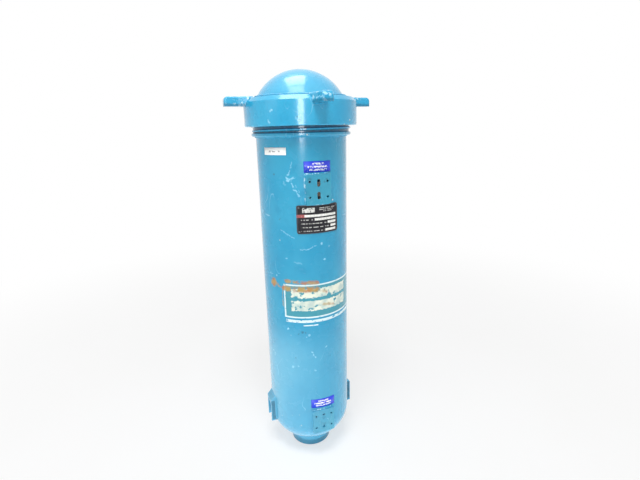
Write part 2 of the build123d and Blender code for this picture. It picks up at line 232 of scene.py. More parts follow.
def stroke(finish, flat, start, end, width):
    """A rubbed line between two points of the unrolled shell, soft at its sides."""
    run = (end[0] - start[0], end[1] - start[1], 0)
    length_squared = run[0] ** 2 + run[1] ** 2
    offset = finish.node("VectorMath", {"operation": "SUBTRACT"}, {0: flat, 1: (*start, 0)})
    along = finish.node("VectorMath", {"operation": "DOT_PRODUCT"}, {0: offset, 1: run}, "Value")
    share = finish.node("Math", {"operation": "MULTIPLY", "use_clamp": True},
                        {0: along, 1: 1 / length_squared})
    nearest = finish.node("VectorMath", {"operation": "SCALE"}, {0: run, "Scale": share})
    distance = finish.node("VectorMath", {"operation": "DISTANCE"}, {0: offset, 1: nearest},
                           "Value")
    return finish.fade(distance, width, 0.35 * width)


def spot(finish, flat, centre, radius):
    """A round mark on the unrolled shell."""
    distance = finish.node("VectorMath", {"operation": "DISTANCE"}, {0: flat, 1: (*centre, 0)},
                           "Value")
    return finish.fade(distance, radius, 0.5 * radius)


def enamel(name, radius, strokes=(), spots=(), dark_spots=(), marks_and_shade=None, panel=None,
           wear=0.3, chalk_and_glint=0.0, chalk_and_glint_grain=170, coat_roughness=0.12, paint=VESSEL_BLUES):
    """Gloss blue enamel with its spray texture, scratches, chips and worn edges.

    A painted reflection of the pale floor lies low on the vessel, more on its left, and a painted
    glow on the dome's top.
    """
    finish = Finish(name, Coat_Roughness=coat_roughness, Coat_IOR=1.5, Specular_IOR_Level=0.25)
    cloud = finish.noise(9, 3)
    full, thin, heavy = paint
    colour = finish.blend(finish.fade(cloud, 0.38, 0.64), full, thin)
    colour = finish.blend(finish.fade(finish.noise(31, 4), 0.56, 0.74) * 0.35, colour, heavy)
    x, _, z = finish.axes()
    # Painted light: the pale floor's reflection painted low on the vessel, stronger on its left,
    # and a painted glow near the dome's top.
    painted_glow = finish.fade(z, PAINTED_GLOW_STARTS, PAINTED_GLOW_IS_FULL) * finish.fade(x, 0.02, -0.08, 0.12, 0.32)
    painted_glow = painted_glow | finish.fade(z, DOME_PAINTED_GLOW_STARTS, DOME_PAINTED_GLOW_IS_FULL, 0.0, 0.15)
    colour = finish.blend(painted_glow * finish.fade(cloud, 0.3, 0.7, 0.8, 1.0), colour, PALE_SCUFF_AND_GLOW)

    drag = finish.node("Mapping", {}, {"Vector": finish.place, "Scale": (1, 1, 0.35)})
    hair = abs(finish.noise(22, 2, drag, 0.4) - 0.5)
    scratches = finish.fade(hair, 0.0035, 0.0012) * finish.fade(finish.noise(14), 0.55, 0.66)
    cells = finish.node("TexVoronoi", {}, {"Vector": finish.place, "Scale": 52.0}, "Distance")
    chips = finish.fade(cells, 0.085, 0.06) * finish.fade(finish.noise(24), 0.56, 0.6)

    flat = finish.unrolled(radius)
    ragged = finish.node("VectorMath", {"operation": "SCALE"},
                         {0: finish.node("TexNoise", {}, {"Vector": finish.place, "Scale": 210.0,
                                                          "Detail": 3.0}, "Color"),
                          "Scale": 7.0})
    shifted = finish.node("VectorMath", {"operation": "ADD"}, {0: flat, 1: ragged})
    shifted = finish.node("VectorMath", {"operation": "SUBTRACT"}, {0: shifted,
                                                                    1: (3.5, 3.5, 3.5)})
    marks = scratches * 0.45
    for start, end, width, depth in strokes:
        marks = marks | stroke(finish, shifted, start, end, width) * depth
    for centre, size, depth in spots:
        marks = marks | spot(finish, shifted, centre, size) * depth
    colour = finish.blend(marks, colour, PALE_SCUFF_AND_GLOW)
    colour = finish.blend(chips, colour, PRIMER)
    roughness = finish.fade(finish.noise(40, 3), 0.3, 0.7, 0.2, 0.3) + marks * 0.25
    gloss = 0.6 - marks * 0.4

    for centre, size, depth in dark_spots:
        dark = spot(finish, shifted, centre, size) * depth
        colour = finish.blend(dark, colour, CHIP)

    if panel:
        colour, roughness, gloss = panel(finish, flat, shifted, colour, roughness, gloss)

    worn = finish.edges(BEVEL_RADIUS) * finish.fade(finish.noise(120, 3), 0.5 - 0.2 * wear, 0.66)
    colour = finish.blend(worn * (0.8 * wear), colour, PALE_SCUFF_AND_GLOW)
    # Pale flecks on the weld beads and wrench lugs: worn chalky paint mixed with painted glints.
    if chalk_and_glint:
        flecks = finish.fade(finish.noise(chalk_and_glint_grain, 4), 0.62 - 0.25 * chalk_and_glint, 0.7 - 0.2 * chalk_and_glint)
        flecks = flecks * finish.fade(finish.noise(26, 3), 0.46, 0.56)
        colour = finish.blend(flecks * 0.8, colour, CHALK_AND_GLINT)
    # Extra marks: bare slot floors, groove grease, and painted shade on the sockets, lugs and
    # thread.
    if marks_and_shade:
        colour, roughness = marks_and_shade(finish, colour, roughness)

    peel = finish.noise(420, 2) * 0.6 + finish.noise(60, 2) * 1.6
    relief = peel - marks * 0.8 - chips * 2
    finish.paint(Base_Color=colour, Roughness=roughness, Coat_Weight=gloss,
                 Normal=finish.bump(relief, 0.10 * MM))
    return finish


def slot_floors(finish, colour, roughness):
    """The unpainted floors of the upper pad's two slots."""
    x, y, z = finish.axes()
    recess = (abs(x) < SLOT_HALF) * (y > upper_pad[0].y + SLOT_BELOW_PAD_FACE)
    recess = recess * (z > upper_pad[0].z + SLOT_END_MARGIN)
    recess = recess * (z < upper_pad[1].z - SLOT_END_MARGIN)
    steel = finish.blend(finish.fade(finish.noise(300, 3), 0.35, 0.65), tint(98, 84, 70),
                         tint(52, 46, 44))
    return finish.blend(recess, colour, steel), roughness + recess * 0.2


def grooves_grease_and_shade(finish, colour, roughness):
    """Old grease and painted shade deep in the collar's thread."""
    flat = finish.node("VectorMath", {"operation": "MULTIPLY"}, {0: finish.place, 1: (1, 1, 0)})
    reach = finish.node("VectorMath", {"operation": "LENGTH"}, {0: flat}, "Value")
    z = finish.axes()[2]
    deep = finish.fade(reach, collar_crest - 0.9 * MM, collar_crest - 2.2 * MM)
    low, high = collar
    deep = deep * (reach > collar_crest - 4 * MM) * (z > low.z + 1.2 * MM) * (z < high.z - 1 * MM)
    grease_and_shade_tone = finish.blend(finish.fade(finish.noise(240, 4), 0.35, 0.65), tint(12, 58, 86),
                         tint(28, 96, 130))
    return finish.blend(deep * 0.82, colour, grease_and_shade_tone), roughness + deep * 0.15


def socket_painted_shade(finish, colour, roughness):
    """Painted shade on the leg channels' front faces, more on the right one, and a little inside
    them.
    """
    x, y, z = finish.axes()
    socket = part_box("leg_socket_right")
    inside = (abs(y) < socket[1].y - 3.3 * MM) * (z > socket[0].z + 0.3 * MM)
    inside = inside * (abs(x) < socket[1].x - 0.4 * MM)
    shade_tone = finish.blend(finish.fade(finish.noise(150, 3), 0.35, 0.65), tint(10, 62, 84),
                        tint(24, 96, 122))
    # Painted shade: the channels' front faces darkened, the right one more than the left.
    shaded = (y < socket[0].y + 0.6 * MM) * (abs(x) < socket[1].x - 0.8 * MM)
    shaded = shaded * (z < socket[1].z - 9 * MM) * (z > socket[0].z + 3 * MM)
    colour = finish.blend(shaded * finish.fade(x, -0.02, 0.02, 0.6, 0.78), colour, shade_tone)
    return finish.blend(inside * 0.25, colour, shade_tone), roughness + inside * 0.15


RUST_RUNS = [
    ((-88, 396), (-80, 390), 3.2, 0.6), ((-66, 404), (-6, 401), 5.0, 0.85),
    ((-70, 389), (-8, 388), 7.5, 0.95), ((-74, 384), (-74, 352), 2.2, 0.5),
    ((-8, 390), (12, 380), 4.6, 0.55), ((6, 356), (28, 351), 4.0, 0.6)]


def cream_panel(finish, flat, shifted, colour, roughness, gloss):
    """A framed panel of worn cream bands over teal, with a plain strip below it and rust."""
    arc, height, _ = finish.axes(flat)
    loose_arc, loose_height, _ = finish.axes(shifted)

    def block(a, b, across, low, high):
        return (a > across[0]) * (a < across[1]) * (b > low) * (b < high)

    def whole(across, low, high):
        return block(arc, height, across, low, high)

    field = whole(PANEL_SIDES, PANEL_LOW, PANEL_HIGH)
    inner_sides = (PANEL_SIDES[0] + FRAME_LINE, PANEL_SIDES[1] - FRAME_LINE)
    frame_line = field - whole(inner_sides, PANEL_LOW + FRAME_LINE, PANEL_HIGH - FRAME_LINE)
    teal = tint(62, 146, 158)
    colour = finish.blend(field * 0.8, colour, teal)
    flaked = finish.fade(finish.noise(95, 4), 0.36, 0.43)
    bands = block(loose_arc, loose_height, BAND_SIDES, 371, 389)
    bands = bands | block(loose_arc, loose_height, BAND_SIDES, 345, 365)
    bands = bands * flaked
    cream = finish.blend(finish.fade(finish.noise(60, 4), 0.4, 0.66), tint(232, 234, 216),
                         tint(190, 208, 200))
    colour = finish.blend(bands * 0.92, colour, cream)
    printed = finish.fade(finish.noise(150, 3), 0.36, 0.42)
    strip = (whole((-69, 84), 320.5, 326) | whole((-34, -6), 313.5, 316)) * printed
    lines = (frame_line | strip) * finish.fade(finish.noise(170, 3), 0.3, 0.38)
    colour = finish.blend(lines * 0.9, colour, tint(222, 238, 240))
    rust = spot(finish, shifted, (-96, 396), 11) * 0.95
    for start, end, width, depth in RUST_RUNS:
        rust = rust | stroke(finish, shifted, start, end, width) * depth
    rust = rust * finish.fade(finish.noise(90, 4), 0.3, 0.5)
    oxide = finish.blend(finish.fade(finish.noise(70, 3), 0.42, 0.6), RUST, tint(178, 112, 66))
    colour = finish.blend(rust, colour, oxide)
    painted = bands | lines
    return colour, roughness + painted * 0.2 + rust * 0.3, gloss - painted * 0.25 - rust * 0.3


# Marks are placed in mm: distance round the shell from its front line, and height.
SCUFFS = [
    ((-45, 621), (-47, 611), 1.4, 0.35), ((-49, 607), (-53, 599), 1.6, 0.5),
    ((-56, 595), (-52, 589), 2.8, 0.75), ((-51, 592), (-41, 595), 1.8, 0.65),
    ((-47, 590), (-43, 597), 1.4, 0.45), ((-46, 585), (-44, 579), 2.0, 0.65),
    ((-40, 583), (-38, 579), 1.3, 0.4), ((-43, 575), (-38, 570), 1.8, 0.6),
    ((-37, 567), (-33, 562), 1.6, 0.5), ((-34, 574), (-33, 569), 1.2, 0.35),
    ((-61, 588), (-58, 583), 1.8, 0.3), ((-71, 502), (-57, 493), 1.3, 0.5),
    ((-57, 493), (-45, 487), 1.3, 0.5), ((-36, 466), (-19, 466), 1.3, 0.55),
    ((-19, 466), (-6, 473), 1.3, 0.55), ((-20, 257), (-12, 244), 1.5, 0.7),
    ((-109, 526), (-98, 525), 2.0, 0.5), ((-24, 552), (-20, 540), 1.1, 0.4),
    ((-96, 412), (-106, 412), 1.6, 0.5), ((-34, 440), (-48, 442), 1.8, 0.3),
    ((58, 520), (72, 518), 1.2, 0.35), ((40, 660), (42, 640), 1.0, 0.3)]
NICKS = [((4.6, 475), 3.6, 0.7), ((9.6, 444), 2.4, 0.8), ((-65, 306), 2.6, 0.8),
         ((-110, 243), 3.0, 0.6), ((10, 264), 2.2, 0.7), ((-59, 223), 3.6, 0.6),
         ((-48, 226), 2.6, 0.5), ((-86, 412), 2.2, 0.7), ((-62, 448), 2.0, 0.5),
         ((-14, 216), 3.0, 0.4), ((20, 468), 2.6, 0.4), ((-24, 294), 2.6, 0.45),
         ((-29, 290), 2.0, 0.5)]
DARK_NICKS = [((-80, 601), 2.6, 0.55), ((-72, 521), 2.0, 0.5), ((-30, 300), 2.4, 0.4),
              ((-52, 244), 1.8, 0.5), ((14, 300), 2.0, 0.35), ((18, 242), 1.8, 0.4),
              ((-37, 300), 3.6, 0.5), ((-44, 297), 2.4, 0.35)]

PAD_STAINS = [((-16, 591), 4.5, 0.35), ((14, 590), 3.0, 0.3), ((10, 586), 2.2, 0.35),
              ((-14, 108), 3.0, 0.25), ((3, 92), 2.4, 0.3)]
shell_enamel = enamel("shell enamel", shell_r, SCUFFS, NICKS, DARK_NICKS, panel=cream_panel)
vessel_enamel = enamel("vessel enamel", shell_r)
pad_enamel = enamel("pad enamel", shell_r, (), (), PAD_STAINS, marks_and_shade=slot_floors, wear=0.5,
                    paint=PAD_BLUES)
bead_enamel = enamel("bead enamel", shell_r, wear=0.6, chalk_and_glint=0.45, chalk_and_glint_grain=260)
socket_enamel = enamel("socket enamel", shell_r, wear=0.6, marks_and_shade=socket_painted_shade)
collar_enamel = enamel("collar enamel", collar_crest, marks_and_shade=grooves_grease_and_shade, coat_roughness=0.07)


def dress(finish, *names):
    """Give CAD nodes their finish."""
    for name in names:
        for slot in nodes[name].material_slots:
            slot.material = finish.material


dress(shell_enamel, "shell_tube")
dress(collar_enamel, "neck_collar")
dress(vessel_enamel, "bottom_head", "outlet_coupling", "inlet_coupling", "bag_seat_ring")
dress(pad_enamel, "upper_pad", "lower_pad")
dress(socket_enamel, "leg_socket_left", "leg_socket_right")


# --- Threads ----------------------------------------------------------------
# The collar carries a coarse thread that the cap ring screws onto, rolled
# round its root; the half couplings are tapped with a fine pipe thread.
THREAD_PITCH = 8 * MM
THREAD_DEPTH = 3.2 * MM
RIDGE_ROOT_HALF = 2.6 * MM
RIDGE_CREST_HALF = 0.9 * MM
PIPE_PITCH = 3.175 * MM
PIPE_BORE = 34.25 * MM
PIPE_ROOT, PIPE_CREST = PIPE_BORE + 0.2 * MM, PIPE_BORE - 1.5 * MM
PIPE_ROOT_HALF, PIPE_CREST_HALF = 1.35 * MM, 0.2 * MM
PIPE_STEPS = 40


def shaped(name, bm, finish, body, smooth=True):
    """Turn a finished bmesh into a piece that rides on a body."""
    mesh = bpy.data.meshes.new(name)
    bm.to_mesh(mesh)
    bm.free()
    for polygon in mesh.polygons:
        polygon.use_smooth = smooth
    piece = bpy.data.objects.new(name, mesh)
    bpy.context.scene.collection.objects.link(piece)
    piece.data.materials.append(finish.material)
    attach(piece, body)
    return piece


def thread(name, root, crest, root_half, crest_half, start, turns, pitch, body, finish,
           steps=56, turned=None):
    """A helical ridge: its section spun round the axis while it climbs."""
    bm = bmesh.new()
    section = [bm.verts.new((-radius, 0, start + rise)) for radius, rise in
               ((root, -root_half), (crest, -crest_half), (crest, crest_half), (root, root_half))]
    face = bm.faces.new(section)
    count = round(turns * steps)
    bmesh.ops.spin(bm, geom=[face], cent=(0, 0, 0), axis=(0, 0, 1),
                   dvec=(0, 0, pitch / steps), angle=2 * math.pi * count / steps, steps=count)
    bmesh.ops.remove_doubles(bm, verts=bm.verts, dist=0.005 * MM)
    if turned:
        bmesh.ops.transform(bm, matrix=turned, verts=bm.verts)
    bmesh.ops.recalc_face_normals(bm, faces=bm.faces)
    return shaped(name, bm, finish, body, smooth=False)


collar_root = collar_crest - THREAD_DEPTH
thread("collar_thread", collar_root - 0.3 * MM, collar_crest, RIDGE_ROOT_HALF, RIDGE_CREST_HALF,
       collar[0].z + 9.4 * MM, 4.5, THREAD_PITCH, "housing", collar_enamel)

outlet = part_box("outlet_coupling")
thread("outlet_thread", PIPE_ROOT, PIPE_CREST, PIPE_ROOT_HALF, PIPE_CREST_HALF,
       outlet[0].z + 2.8 * MM, 10.5, PIPE_PITCH, "housing", vessel_enamel,
       PIPE_STEPS)
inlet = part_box("inlet_coupling")
inlet_z = (inlet[0].z + inlet[1].z) / 2
to_inlet = Matrix.Translation((0, 0, inlet_z)) @ Matrix.Rotation(math.radians(-90), 4, "X")
thread("inlet_thread", PIPE_ROOT, PIPE_CREST, PIPE_ROOT_HALF, PIPE_CREST_HALF,
       inlet[1].y - 28 * MM, 8, PIPE_PITCH, "housing", vessel_enamel,
       PIPE_STEPS, to_inlet)


# --- Weld beads on the vessel -----------------------------------------------
# Every attachment is joined by a fillet weld, painted over: round both
# couplings, under the collar, and along the edges of the pads and sockets.
RIPPLE_PITCH = 2.6 * MM
BEAD_STEP = 0.65 * MM
head_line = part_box("shell_tube")[0].z
coupling_r = outlet[1].x
cut_r = coupling_r + 0.1 * MM
head_depth = ((head_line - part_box("bottom_head")[0].z)
              / math.sqrt(1 - (cut_r / shell_r) ** 2))


def weld(name, points, radius, body, finish, closed=True):
    """A rippled bead laid along a path."""
    line = bpy.data.curves.new(name, "CURVE")
    line.dimensions = "3D"
    line.bevel_depth = radius
    line.bevel_resolution = 2
    line.use_fill_caps = True
    run = line.splines.new("POLY")
    run.points.add(len(points) - 1)
    travelled = 0.0
    before = points[0]
    for point, place in zip(run.points, points):
        travelled += (place - before).length
        before = place
        wave = math.sin(2 * math.pi * travelled / RIPPLE_PITCH)
        drift = math.sin(travelled / (9 * MM))
        point.co = (*place, 1)
        point.radius = 1 + 0.10 * wave + 0.07 * drift
    run.use_cyclic_u = closed
    laid = bpy.data.objects.new(name, line)
    bpy.context.scene.collection.objects.link(laid)
    bm = bmesh.new()
    bm.from_mesh(bpy.data.meshes.new_from_object(laid))
    bpy.data.objects.remove(laid)
    bmesh.ops.remove_doubles(bm, verts=bm.verts, dist=0.002 * MM)
    bmesh.ops.recalc_face_normals(bm, faces=bm.faces)
    return shaped(name, bm, finish, body)


def ring_path(radius, place):
    """Points round a circle; place(cos, sin) says where each lies."""
    count = round(2 * math.pi * radius / BEAD_STEP)
    angles = [2 * math.pi * step / count for step in range(count)]
    return [Vector(place(radius * math.cos(angle), radius * math.sin(angle)))
            for angle in angles]


def skin(x, z):
    """How far in front of the axis the vessel's surface lies at x and z."""
    below = max(0.0, head_line - z) / head_depth
    reach = shell_r * math.sqrt(max(0.0, 1 - below * below))
    return math.sqrt(max(0.0, reach * reach - x * x))


outlet_weld_z = head_line - head_depth * math.sqrt(1 - (coupling_r / shell_r) ** 2)
weld("outlet_weld", ring_path(coupling_r, lambda x, y: (x, y, outlet_weld_z)), 2.6 * MM,
     "housing", vessel_enamel)
weld("inlet_weld", ring_path(coupling_r, lambda x, rise: (x, skin(x, inlet_z), inlet_z + rise)),
     3.0 * MM, "housing", vessel_enamel)
weld("collar_weld", ring_path(shell_r, lambda x, y: (x, y, collar[0].z)), 2.2 * MM,
     "housing", vessel_enamel)


def outline_path(low, high, corner):
    """Points round an upright rectangle with rounded corners, as (x, z)."""
    centre_x, half_x = (low.x + high.x) / 2, (high.x - low.x) / 2
    centre_z, half_z = (low.z + high.z) / 2, (high.z - low.z) / 2
    points = []
    for quarter, (sign_x, sign_z) in enumerate(((1, 1), (-1, 1), (-1, -1), (1, -1))):
        for step in range(7):
            angle = math.radians(90 * quarter + 15 * step)
            points.append((centre_x + sign_x * (half_x - corner) + corner * math.cos(angle),
                           centre_z + sign_z * (half_z - corner) + corner * math.sin(angle)))
    dense = []
    for (x0, z0), (x1, z1) in zip(points, points[1:] + points[:1]):
        count = max(1, round(math.hypot(x1 - x0, z1 - z0) / BEAD_STEP))
        dense += [(x0 + (x1 - x0) * step / count, z0 + (z1 - z0) * step / count)
                  for step in range(count)]
    return dense


for pad_name, (low, high) in (("upper_pad", upper_pad), ("lower_pad", lower_pad)):
    path = [Vector((x, -skin(x, z), z)) for x, z in outline_path(low, high, 3 * MM)]
    weld(pad_name + "_weld", path, 1.9 * MM, "housing", bead_enamel)

for side, socket_name in ((1, "leg_socket_right"), (-1, "leg_socket_left")):
    low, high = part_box(socket_name)
    half = high.y
    levels = [low.z + 1 * MM + (high.z - low.z - 3 * MM) * step / 80 for step in range(81)]
    across = [half - 2 * half * step / 40 for step in range(41)]
    path = [(-half, level) for level in levels]
    path += [(-y, levels[-1] + 1.6 * MM) for y in across]
    path += [(half, level) for level in reversed(levels)]
    points = [Vector((side * skin(y, level), y, level)) for y, level in path]
    weld(socket_name + "_weld", points, 1.7 * MM, "housing", vessel_enamel,
         closed=False)


# --- Nameplate --------------------------------------------------------------
# Thin sheet, black enamel over bare metal, riveted round the shell. Its head
# has a plain block and lines, and each row below ends in a bare field.
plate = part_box("nameplate")
plate_z = (plate[0].z + plate[1].z) / 2 / MM
plate_enamel = Finish("nameplate enamel", Coat_Roughness=0.12, Specular_IOR_Level=0.3)
arc, height, _ = plate_enamel.axes(plate_enamel.unrolled(shell_r))
rise = height - plate_z
grain = plate_enamel.noise(500, 2)


def field(left, right, low, high):
    """A box on the plate, in mm from its middle."""
    return (arc > left) * (arc < right) * (rise > low) * (rise < high)


ROW_PITCH = 6.8
ROW_TOP = 9.9
ROW_COUNT = 5
row = (ROW_TOP - rise) / ROW_PITCH
part_of_row = plate_enamel.node("Math", {"operation": "FRACT"}, {0: row})
starts = [-26, -8, 17, 23, 12]
field_start = plate_enamel.node(
    "ValToRGB", {"interpolation": "CONSTANT",
                 "stops": [(index / ROW_COUNT, ((start + 40) / 80,) * 3 + (1,))
                           for index, start in enumerate(starts)]},
    {0: row * (1 / ROW_COUNT)})
starts_at = plate_enamel.node("RGBToBW", {}, {0: field_start}) * 80 - 40
rows = (rise < ROW_TOP) * (rise > ROW_TOP - ROW_COUNT * ROW_PITCH)
bare_fields = rows * (part_of_row > 0.17) * (part_of_row < 0.8)
bare_fields = bare_fields * (arc > starts_at) * (arc < 35)
squeezed = plate_enamel.node("Mapping", {}, {"Vector": plate_enamel.place, "Scale": (1, 1, 0.2)})
broken = plate_enamel.noise(420, 1, squeezed) > 0.47
small_lines = rows * (part_of_row > 0.42) * (part_of_row < 0.66)
small_lines = small_lines * (arc > -32) * (arc < starts_at - 2) * broken
head_block = field(-29.5, -7.5, 12.6, 21) * (plate_enamel.noise(230, 2) > 0.38)
head_lines = broken * (field(1, 33, 19, 20.4) | field(1, 29, 16, 17.4) | field(8, 26, 13.2, 14.4))
black = plate_enamel.blend(plate_enamel.fade(plate_enamel.noise(90, 3), 0.4, 0.7),
                           tint(12, 12, 20), tint(32, 30, 40))
red_row = (rise < ROW_TOP - 0.6) * (rise > ROW_TOP - ROW_PITCH * 0.9) * (arc < starts_at + 4)
black = plate_enamel.blend(red_row * 0.8, black, tint(176, 92, 92))
pale = plate_enamel.blend(plate_enamel.fade(grain, 0.4, 0.6), tint(240, 241, 236),
                          tint(212, 213, 208))
shown = bare_fields | head_block * 0.9 | head_lines * 0.7 | small_lines * 0.6
rim = 1 - field(-37.6, 37.6, -24.6, 24.6)
colour = plate_enamel.blend(shown, black, pale)
colour = plate_enamel.blend(rim * 0.35, colour, tint(96, 98, 104))
plate_enamel.paint(Base_Color=colour, Roughness=0.32 + shown * 0.15,
                   Coat_Weight=0.15 - shown * 0.15,
                   Normal=plate_enamel.bump(shown + grain * 0.3, 0.05 * MM))
dress(plate_enamel, "nameplate")

rivet_steel = Finish("rivet steel", Metallic=0.6, Specular_IOR_Level=0.5)
dulled = rivet_steel.noise(350, 3)
rivet_steel.paint(Base_Color=rivet_steel.blend(rivet_steel.fade(dulled, 0.35, 0.65),
                                               tint(118, 120, 124), tint(74, 72, 72)),
                  Roughness=rivet_steel.fade(dulled, 0.3, 0.7, 0.25, 0.5))
dress(rivet_steel, "nameplate_rivets")


# --- Labels -----------------------------------------------------------------
# Two blue vinyl labels above the pads and a small paper sticker under the
# collar, stuck round the shell. The labels show plain broken bars only.
LABEL_THICKNESS = 0.18 * MM
BAR_HALF = 1.55


def patch(name, middle, width, bottom, top, tilt, finish):
    """A thin sheet stuck round the shell: an upright edge spun through its width."""
    radius = shell_r + 0.05 * MM
    steps = 20
    start = (middle - width / 2) * MM / radius
    edge_x, edge_y = radius * math.sin(start), -radius * math.cos(start)
    bm = bmesh.new()
    ends = [bm.verts.new((edge_x, edge_y, level * MM - tilt * MM / 2)) for level in (bottom, top)]
    side = bm.edges.new(ends)
    bmesh.ops.spin(bm, geom=[*ends, side], cent=(0, 0, 0), axis=(0, 0, 1),
                   dvec=(0, 0, tilt * MM / steps), angle=width * MM / radius, steps=steps)
    bmesh.ops.recalc_face_normals(bm, faces=bm.faces)
    outward = sum((face.normal.dot(Vector((face.calc_center_median().x,
                                           face.calc_center_median().y, 0)))
                   for face in bm.faces), 0.0)
    if outward < 0:
        bmesh.ops.reverse_faces(bm, faces=bm.faces)
    piece = shaped(name, bm, finish, "housing")
    thicken = piece.modifiers.new("thickness", "SOLIDIFY")
    thicken.thickness = LABEL_THICKNESS
    thicken.offset = 1
    return piece


def label_vinyl(name, middle_z, slope):
    """Blue vinyl with three rows of plain, broken white bars."""
    vinyl = Finish(name, Coat_Roughness=0.15, Coat_Weight=0.3, Specular_IOR_Level=0.5)
    across, up, _ = vinyl.axes(vinyl.unrolled(shell_r))
    up = up - middle_z - across * slope
    bars = None
    for centre, half, level in ((1, 11, 5.1), (0, 18, 0.0), (1, 16, -5.2)):
        bar = (abs(across - centre) < half) * (abs(up - level) < BAR_HALF)
        bars = bar if bars is None else bars | bar
    bars = bars * (vinyl.noise(330, 2) > 0.45)
    blue = vinyl.blend(vinyl.fade(vinyl.noise(70, 3), 0.4, 0.7), tint(26, 48, 214),
                       tint(46, 74, 222))
    worn = vinyl.fade(vinyl.noise(140, 4), 0.64, 0.7)
    blue = vinyl.blend(worn * 0.5, blue, tint(150, 176, 230))
    vinyl.paint(Base_Color=vinyl.blend(bars * 0.95, blue, tint(248, 250, 254)),
                Roughness=vinyl.fade(vinyl.noise(60), 0.3, 0.7, 0.3, 0.45),
                Normal=vinyl.bump(vinyl.noise(80, 2), 0.1 * MM))
    return vinyl


patch("upper_label", 0, 49.5, 603, 622, 0, label_vinyl("upper label vinyl", 612.5, 0))
patch("lower_label", 1, 51, 128, 148, -2.5, label_vinyl("lower label vinyl", 138, -0.05))

sticker_paper = Finish("sticker paper", Specular_IOR_Level=0.4)
aged = sticker_paper.fade(sticker_paper.noise(60, 4), 0.4, 0.7)
across, up, _ = sticker_paper.axes(sticker_paper.unrolled(shell_r))
pencilled = (abs(across + 78) < 12) * (abs(up - 639) < 1.3) * (sticker_paper.noise(280, 2) > 0.46)
paper = sticker_paper.blend(aged, tint(252, 252, 250), tint(242, 242, 238))
sticker_paper.paint(Base_Color=sticker_paper.blend(pencilled * 0.75, paper, tint(96, 98, 108)),
                    Roughness=sticker_paper.fade(aged, 0.0, 1.0, 0.5, 0.65),
                    Normal=sticker_paper.bump(sticker_paper.noise(200, 3), 0.08 * MM))
patch("paper_sticker", -77.5, 47, 633, 645.5, 0, sticker_paper)


# --- Cap --------------------------------------------------------------------
# A machined ring with the mating thread, a pressed dome welded on its web,
# and four wrench lugs, sprayed like the vessel. The lugs' edges are worn
# bright by the spanner, and an O-ring lies in the web's groove.
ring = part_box("cap_ring")
ring_r = ring[1].x
RING_SCUFFS = [((-86, 686), (-88, 689), 2.6, 0.8), ((-84, 704), (-81, 706), 2.2, 0.7),
               ((-36, 690), (-34, 697), 2.6, 0.5)]
RING_DARK = [((-38, 694), 1.8, 0.6), ((-35, 690), 1.4, 0.5)]
cap_enamel = enamel("cap enamel", ring_r, RING_SCUFFS, (), RING_DARK, wear=0.6,
                    coat_roughness=0.12, paint=CAP_BLUES)
LUG_NICKS = [((-4, 726), 3.4, 0.95), ((2, 724), 2.4, 0.85), ((-8, 722), 2.0, 0.7),
             ((7, 727), 2.2, 0.8)]


def lug_painted_shade(finish, colour, roughness):
    """Painted shade along the underside of each wrench lug."""
    z = finish.axes()[2]
    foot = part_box("lug_front")[0].z + 4.5 * MM
    under = finish.fade(z + finish.noise(160, 3) * (4 * MM), foot + 4 * MM, foot)
    return finish.blend(under * 0.6, colour, tint(12, 78, 108)), roughness + under * 0.15


lug_enamel = enamel("lug enamel", ring_r, (), LUG_NICKS, marks_and_shade=lug_painted_shade, wear=1.0, chalk_and_glint=0.35,
                    chalk_and_glint_grain=190, coat_roughness=0.08, paint=CAP_BLUES)
dress(cap_enamel, "cap_ring", "cap_dome")
dress(lug_enamel, "lug_front", "lug_right", "lug_rear", "lug_left")

thread("ring_thread", collar_crest + 0.7 * MM, collar_root + 0.7 * MM, RIDGE_ROOT_HALF,
       RIDGE_CREST_HALF, ring[0].z + 4.4 * MM, 3.05, THREAD_PITCH, "cap", cap_enamel)

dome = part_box("cap_dome")
shoulder_z = ring[1].z
dome_foot = dome[1].x
weld_r = math.sqrt(max(0.0, dome_foot ** 2 - (10 * MM) ** 2))
weld("dome_weld", ring_path(weld_r, lambda x, y: (x, y, shoulder_z)), 2.0 * MM, "cap",
     cap_enamel)

seal_rubber = Finish("seal rubber", Specular_IOR_Level=0.4)
bloom = seal_rubber.fade(seal_rubber.noise(120, 4), 0.4, 0.7)
seal_rubber.paint(Base_Color=seal_rubber.blend(bloom, tint(36, 36, 38), tint(62, 62, 62)),
                  Roughness=seal_rubber.fade(bloom, 0.0, 1.0, 0.45, 0.65),
                  Normal=seal_rubber.bump(seal_rubber.noise(900, 2), 0.05 * MM))
dress(seal_rubber, "cap_o_ring", "basket_gasket")


# --- Basket and bail --------------------------------------------------------
# A sleeve rolled from punched stainless sheet with a flanged rim and a
# perforated floor; the wire bail swings in two ears on the rim.
basket_steel = Finish("basket steel", Metallic=1.0, Specular_IOR_Level=0.5)
rolled = basket_steel.node("Mapping", {}, {"Vector": basket_steel.place, "Scale": (1, 1, 14)})
lines = basket_steel.noise(60, 4, rolled)
stain = basket_steel.fade(basket_steel.noise(22, 4), 0.5, 0.72)
steel = basket_steel.blend(basket_steel.fade(lines, 0.35, 0.65), tint(196, 198, 200),
                           tint(172, 174, 176))
steel = basket_steel.blend(stain * 0.5, steel, tint(142, 134, 120))
basket_steel.paint(Base_Color=steel,
                   Roughness=basket_steel.fade(lines, 0.3, 0.7, 0.28, 0.42) + stain * 0.15,
                   Normal=basket_steel.bump(lines, 0.03 * MM))
dress(basket_steel, "basket_wall", "basket_rim", "basket_floor", "bail_ears", "basket_bail")


